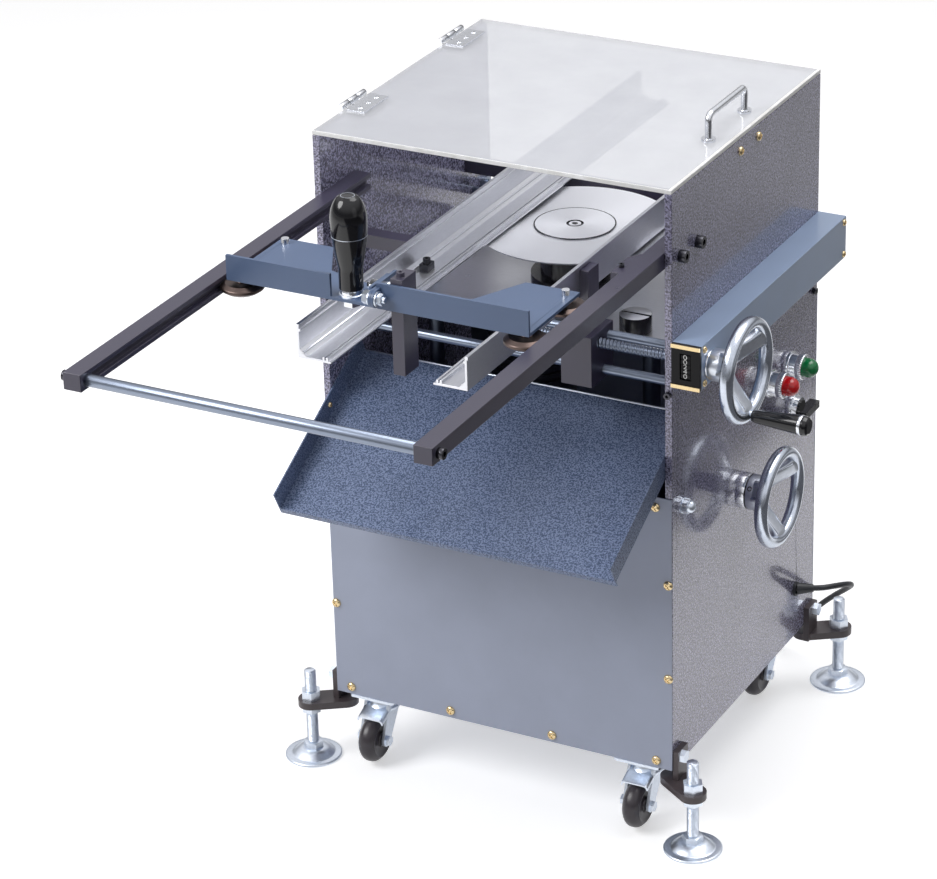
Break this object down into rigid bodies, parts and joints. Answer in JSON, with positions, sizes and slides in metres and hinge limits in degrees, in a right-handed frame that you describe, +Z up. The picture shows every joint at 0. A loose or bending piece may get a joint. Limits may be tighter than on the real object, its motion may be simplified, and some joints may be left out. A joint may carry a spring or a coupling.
{
  "type": "pcb lead cutter",
  "caption": "Floor-standing circuit-board lead cutter: rotary disc under adjustable rails, hand-pushed carriage on arms, waste chute, handwheels, clear lid, casters and levelling feet.",
  "frame": {"origin": "floor point under the middle of the machine's bounding box, cord left out", "axes": "+X to the operator's right, +Y from the loading end to the back, +Z up"},
  "size_m": [0.748, 1.275, 0.962],
  "materials": {
    "hammered_paint": "hammer-finish grey enamel",
    "panel_paint": "satin grey-blue enamel",
    "chute_paint": "fine hammer-finish blue-grey enamel",
    "brass": "yellow-plated screw heads",
    "rail_aluminium": "natural anodised extrusion",
    "black_bar": "black oxide, satin",
    "ground_steel": "ground and polished",
    "black_screws": "black oxide",
    "cover_paint": "smooth semi-gloss blue-grey enamel",
    "counter_black": "moulded black case with gilt strips",
    "chain_steel": "oiled steel",
    "bracket_paint": "dark brown-black enamel",
    "zinc": "bright zinc plate",
    "chrome": "bright chrome plate",
    "cord_black": "matt black sheath",
    "clear_lid": "clear acrylic sheet",
    "grip_black": "polished black phenolic",
    "head_metal": "machined plate",
    "motor_paint": "motor enamel",
    "housing_black": "gloss black enamel",
    "belt_rubber": "moulded belt",
    "blade_steel": "ground tool steel",
    "carriage_paint": "satin blue-grey enamel",
    "bronze": "sintered bronze",
    "tyre_rubber": "hard black rubber",
    "green_lens": "moulded lens",
    "red_lens": "moulded lens"
  },
  "bodies": {
    "base": {"left_side_plate": "hammered_paint", "right_side_plate": "hammered_paint", "cover_panels": "panel_paint", "waste_chute": "chute_paint", "brass_screws": "brass", "fixed_rail": "rail_aluminium", "inner_frame": "black_bar", "slide_arms": "black_bar", "steel_rods": "ground_steel", "frame_bolts": "black_screws", "side_housing": "cover_paint", "position_counter": "counter_black", "sync_chain": "chain_steel", "foot_brackets": "bracket_paint", "zinc_hardware": "zinc", "chrome_fittings": "chrome", "cord_gland": "cord_black", "power_cord": "cord_black", "cord_coil": "cord_black", "mains_plug": "cord_black"},
    "lid": {"lid_panel": "clear_lid", "lid_fittings": "chrome"},
    "width_wheel": {"width_handwheel": "chrome", "lead_screw": "ground_steel"},
    "grip": {"crank_grip": "grip_black"},
    "rear_lead": {"rear_screw": "ground_steel"},
    "rail_carrier": {"slide_blocks": "black_bar", "moving_rail": "rail_aluminium"},
    "height_wheel": {"height_handwheel": "chrome"},
    "head": {"lift_screw": "ground_steel", "head_plate": "head_metal", "drive_motor": "motor_paint", "spindle_housing": "housing_black", "drive_belt": "belt_rubber"},
    "cutter": {"cutter_blade": "blade_steel", "blade_spindle": "blade_steel"},
    "motor_shaft": {"motor_pulley": "ground_steel"},
    "carriage": {"carriage_plates": "carriage_paint", "carriage_handle": "grip_black", "board_pusher": "black_bar", "carriage_bolts": "chrome"},
    "start": {"start_button": "green_lens"},
    "stop": {"stop_button": "red_lens"},
    "selector": {"selector_knob": "grip_black"},
    "track_fl": {"roller_fl": "bronze"},
    "swivel_fl": {"fork_fl": "zinc"},
    "caster_fl": {"wheel_fl": "tyre_rubber"},
    "leveller_fl": {"foot_fl": "zinc"},
    "track_fr": {"roller_fr": "bronze"},
    "swivel_fr": {"fork_fr": "zinc"},
    "caster_fr": {"wheel_fr": "tyre_rubber"},
    "leveller_fr": {"foot_fr": "zinc"},
    "track_rl": {"roller_rl": "bronze"},
    "swivel_rl": {"fork_rl": "zinc"},
    "caster_rl": {"wheel_rl": "tyre_rubber"},
    "leveller_rl": {"foot_rl": "zinc"},
    "track_rr": {"roller_rr": "bronze"},
    "swivel_rr": {"fork_rr": "zinc"},
    "caster_rr": {"wheel_rr": "tyre_rubber"},
    "leveller_rr": {"foot_rr": "zinc"}
  },
  "joints": [
    {"name": "lid_hinge", "type": "hinge", "parent": "base", "child": "lid", "pos_m": [-0.304, 0.1905, 0.9155], "axis": [0, -1, 0], "range_deg": [0, 105]},
    {"name": "width_turn", "type": "hinge", "parent": "base", "child": "width_wheel", "pos_m": [0.25, -0.0165, 0.682], "axis": [1, 0, 0], "range_deg": [-2160, 6480]},
    {"name": "rear_turn", "type": "hinge", "parent": "base", "child": "rear_lead", "pos_m": [-0.05, 0.3975, 0.682], "axis": [1, 0, 0], "range_deg": [-2160, 6480]},
    {"name": "rail_slide", "type": "slide", "parent": "base", "child": "rail_carrier", "axis": [1, 0, 0], "range_m": [-0.03, 0.09]},
    {"name": "grip_spin", "type": "hinge", "parent": "width_wheel", "child": "grip", "pos_m": [0.3, -0.0165, 0.622], "axis": [1, 0, 0], "continuous": true},
    {"name": "height_turn", "type": "hinge", "parent": "base", "child": "height_wheel", "pos_m": [0.24, 0.1765, 0.412], "axis": [1, 0, 0], "range_deg": [-5400, 1080]},
    {"name": "head_lift", "type": "slide", "parent": "base", "child": "head", "axis": [0, 0, 1], "range_m": [-0.015, 0.003]},
    {"name": "cutter_spin", "type": "hinge", "parent": "head", "child": "cutter", "pos_m": [-0.05, 0.1985, 0.7], "axis": [0, 0, 1], "continuous": true},
    {"name": "motor_spin", "type": "hinge", "parent": "head", "child": "motor_shaft", "pos_m": [-0.16, 0.2825, 0.62], "axis": [0, 0, 1], "continuous": true},
    {"name": "carriage_slide", "type": "slide", "parent": "base", "child": "carriage", "axis": [0, 1, 0], "range_m": [-0.25, 0.065]},
    {"name": "track_spin_fl", "type": "hinge", "parent": "carriage", "child": "track_fl", "pos_m": [-0.242, -0.3175, 0.819], "axis": [0, 0, 1], "range_deg": [-572.96, 148.97]},
    {"name": "track_spin_fr", "type": "hinge", "parent": "carriage", "child": "track_fr", "pos_m": [0.142, -0.3175, 0.819], "axis": [0, 0, 1], "range_deg": [-148.97, 572.96]},
    {"name": "track_spin_rl", "type": "hinge", "parent": "carriage", "child": "track_rl", "pos_m": [-0.242, -0.2135, 0.819], "axis": [0, 0, 1], "range_deg": [-572.96, 148.97]},
    {"name": "track_spin_rr", "type": "hinge", "parent": "carriage", "child": "track_rr", "pos_m": [0.142, -0.2135, 0.819], "axis": [0, 0, 1], "range_deg": [-148.97, 572.96]},
    {"name": "swivel_turn_fl", "type": "hinge", "parent": "base", "child": "swivel_fl", "pos_m": [-0.248, -0.0095, 0.085], "axis": [0, 0, 1], "continuous": true},
    {"name": "caster_spin_fl", "type": "hinge", "parent": "swivel_fl", "child": "caster_fl", "pos_m": [-0.248, -0.0355, 0.037], "axis": [1, 0, 0], "continuous": true},
    {"name": "leveller_travel_fl", "type": "slide", "parent": "base", "child": "leveller_fl", "axis": [0, 0, 1], "range_m": [0, 0.025]},
    {"name": "swivel_turn_fr", "type": "hinge", "parent": "base", "child": "swivel_fr", "pos_m": [0.148, -0.0095, 0.085], "axis": [0, 0, 1], "continuous": true},
    {"name": "caster_spin_fr", "type": "hinge", "parent": "swivel_fr", "child": "caster_fr", "pos_m": [0.148, -0.0355, 0.037], "axis": [1, 0, 0], "continuous": true},
    {"name": "leveller_travel_fr", "type": "slide", "parent": "base", "child": "leveller_fr", "axis": [0, 0, 1], "range_m": [0, 0.025]},
    {"name": "swivel_turn_rl", "type": "hinge", "parent": "base", "child": "swivel_rl", "pos_m": [-0.248, 0.3765, 0.085], "axis": [0, 0, 1], "continuous": true},
    {"name": "caster_spin_rl", "type": "hinge", "parent": "swivel_rl", "child": "caster_rl", "pos_m": [-0.248, 0.3505, 0.037], "axis": [1, 0, 0], "continuous": true},
    {"name": "leveller_travel_rl", "type": "slide", "parent": "base", "child": "leveller_rl", "axis": [0, 0, 1], "range_m": [0, 0.025]},
    {"name": "swivel_turn_rr", "type": "hinge", "parent": "base", "child": "swivel_rr", "pos_m": [0.148, 0.3765, 0.085], "axis": [0, 0, 1], "continuous": true},
    {"name": "caster_spin_rr", "type": "hinge", "parent": "swivel_rr", "child": "caster_rr", "pos_m": [0.148, 0.3505, 0.037], "axis": [1, 0, 0], "continuous": true},
    {"name": "leveller_travel_rr", "type": "slide", "parent": "base", "child": "leveller_rr", "axis": [0, 0, 1], "range_m": [0, 0.025]},
    {"name": "start_press", "type": "slide", "parent": "base", "child": "start", "axis": [-1, 0, 0], "range_m": [0, 0.004], "stiffness_N_per_m": 400},
    {"name": "stop_press", "type": "slide", "parent": "base", "child": "stop", "axis": [-1, 0, 0], "range_m": [0, 0.004], "stiffness_N_per_m": 400},
    {"name": "selector_turn", "type": "hinge", "parent": "base", "child": "selector", "pos_m": [0.21, 0.3345, 0.463], "axis": [1, 0, 0], "range_deg": [-45, 45]}
  ],
  "couplings": [
    {"joint": "width_turn", "follows": "rail_slide", "rad_per_m": 1256.6},
    {"joint": "rear_turn", "follows": "rail_slide", "rad_per_m": 1256.6},
    {"joint": "height_turn", "follows": "head_lift", "rad_per_m": 6283.2},
    {"joint": "cutter_spin", "follows": "motor_spin", "ratio": 0.75},
    {"joint": "track_spin_fl", "follows": "carriage_slide", "rad_per_m": 40},
    {"joint": "track_spin_fr", "follows": "carriage_slide", "rad_per_m": -40},
    {"joint": "track_spin_rl", "follows": "carriage_slide", "rad_per_m": 40},
    {"joint": "track_spin_rr", "follows": "carriage_slide", "rad_per_m": -40}
  ]
}
